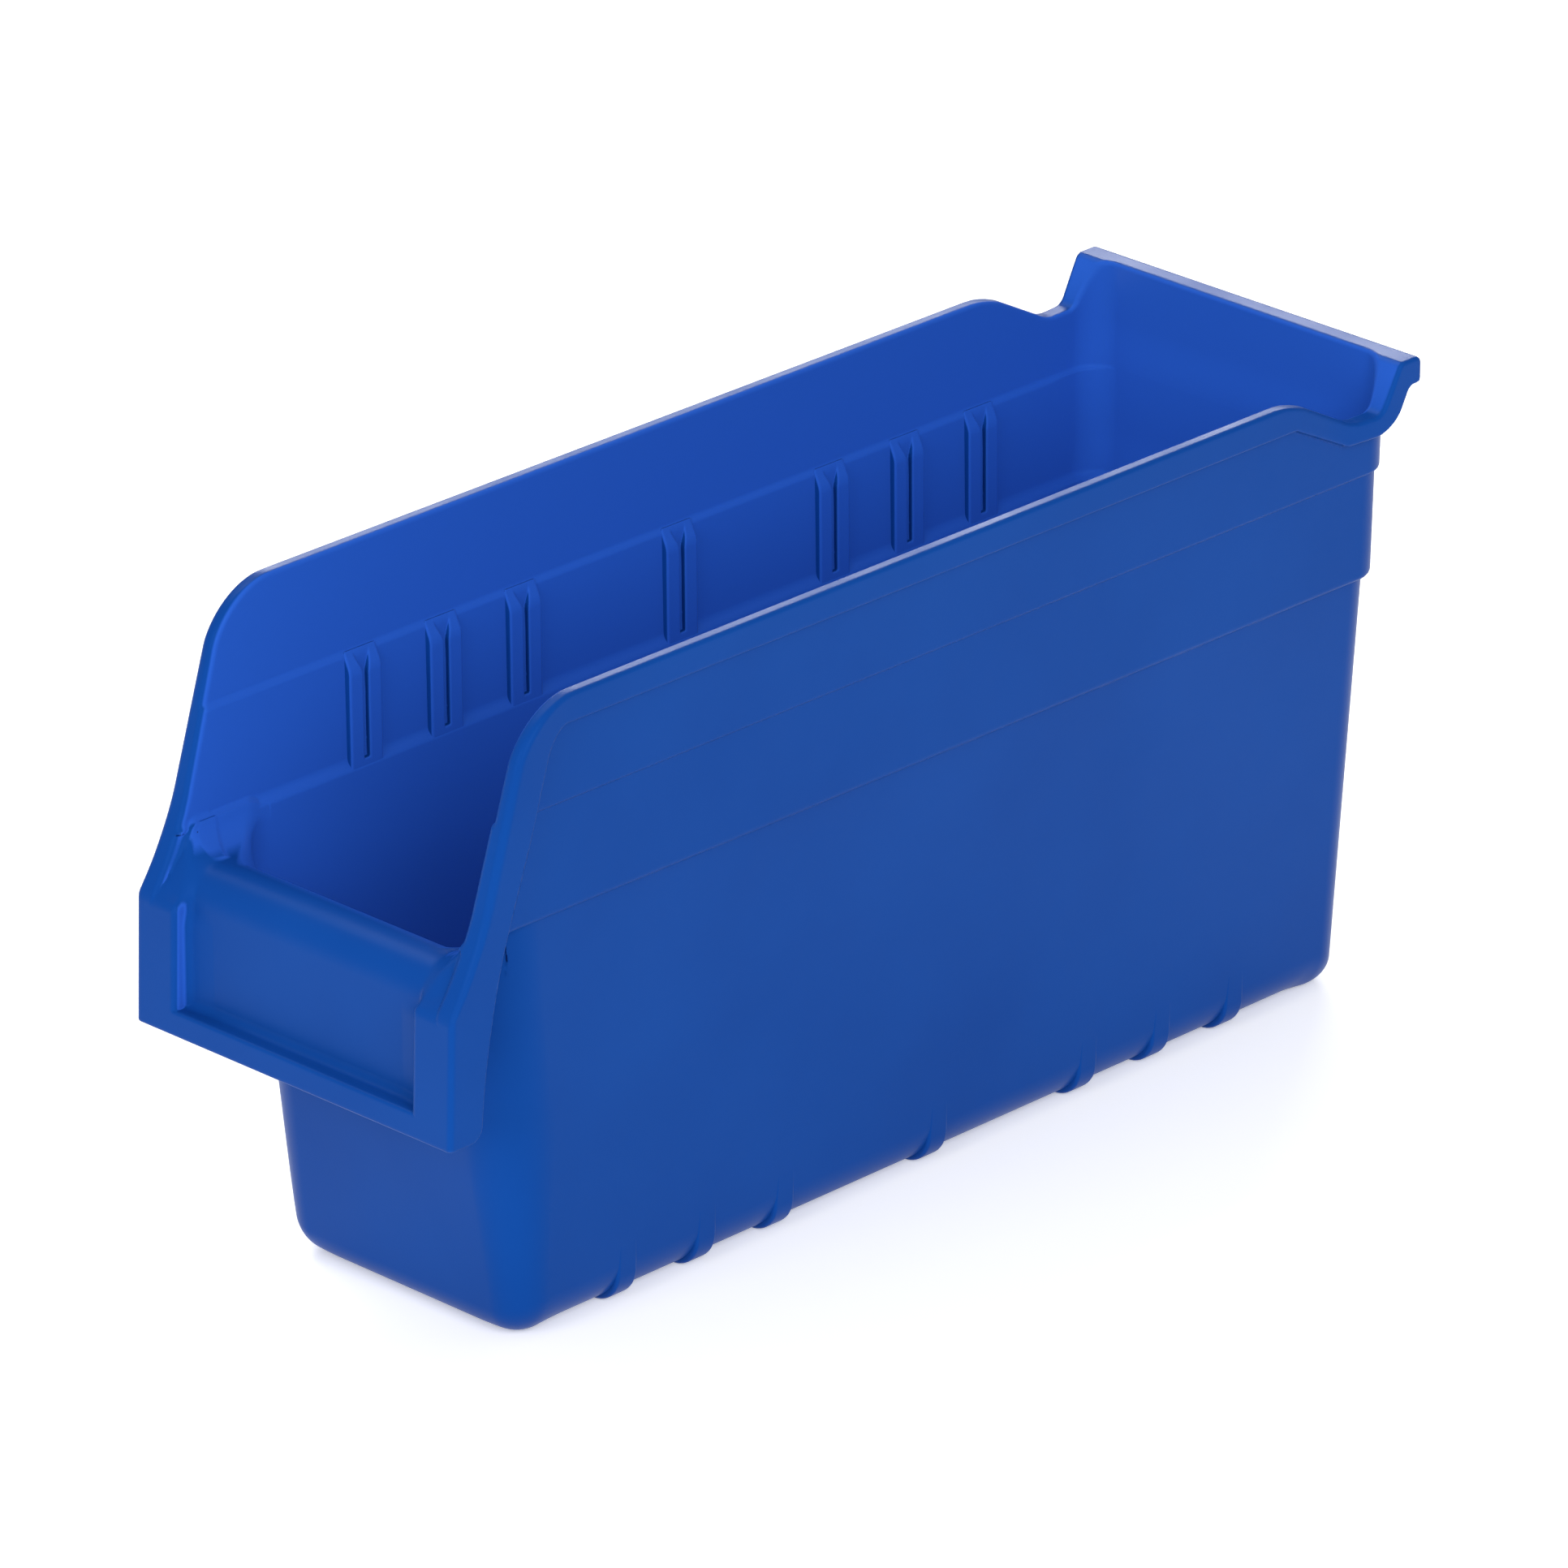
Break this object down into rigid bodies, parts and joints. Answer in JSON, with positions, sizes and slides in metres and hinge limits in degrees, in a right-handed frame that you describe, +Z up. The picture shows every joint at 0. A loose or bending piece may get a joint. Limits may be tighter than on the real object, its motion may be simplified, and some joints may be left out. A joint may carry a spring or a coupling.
{
  "type": "stackable storage bin",
  "caption": "Long, narrow open hopper-front storage bin with stepped tapered walls, beaded rims, a rear hook lip, a front label recess, divider slots and small feet.",
  "frame": {"origin": "centre of the box of the bin, on the surface it stands on", "axes": "+X across the bin to its right side as seen from the front, +Y along it from the hopper front to the rear lip, +Z up"},
  "size_m": [0.097, 0.2972, 0.1524],
  "materials": {
    "bin_plastic": "semi-gloss moulded polypropylene"
  },
  "bodies": {
    "root": {"floor_pan": "bin_plastic", "front_wall": "bin_plastic", "rear_wall_lower": "bin_plastic", "rear_wall_middle": "bin_plastic", "rear_wall_upper": "bin_plastic", "rear_lip": "bin_plastic", "hopper_lip": "bin_plastic", "label_panel": "bin_plastic", "side_wall_lower_right": "bin_plastic", "side_wall_lower_left": "bin_plastic", "side_wall_middle_right": "bin_plastic", "side_wall_middle_left": "bin_plastic", "side_wall_upper_right": "bin_plastic", "side_wall_upper_left": "bin_plastic", "rim_right": "bin_plastic", "rim_left": "bin_plastic", "front_flange_right": "bin_plastic", "front_flange_left": "bin_plastic", "side_frame_right": "bin_plastic", "side_frame_left": "bin_plastic", "foot_1_right": "bin_plastic", "foot_1_left": "bin_plastic", "foot_2_right": "bin_plastic", "foot_2_left": "bin_plastic", "foot_3_right": "bin_plastic", "foot_3_left": "bin_plastic", "foot_4_right": "bin_plastic", "foot_4_left": "bin_plastic", "foot_5_right": "bin_plastic", "foot_5_left": "bin_plastic", "foot_6_right": "bin_plastic", "foot_6_left": "bin_plastic", "foot_7_right": "bin_plastic", "foot_7_left": "bin_plastic", "divider_slot_1_right": "bin_plastic", "divider_slot_1_left": "bin_plastic", "divider_slot_2_right": "bin_plastic", "divider_slot_2_left": "bin_plastic", "divider_slot_3_right": "bin_plastic", "divider_slot_3_left": "bin_plastic", "divider_slot_4_right": "bin_plastic", "divider_slot_4_left": "bin_plastic", "divider_slot_5_right": "bin_plastic", "divider_slot_5_left": "bin_plastic", "divider_slot_6_right": "bin_plastic", "divider_slot_6_left": "bin_plastic", "divider_slot_7_right": "bin_plastic", "divider_slot_7_left": "bin_plastic"}
  },
  "joints": []
}
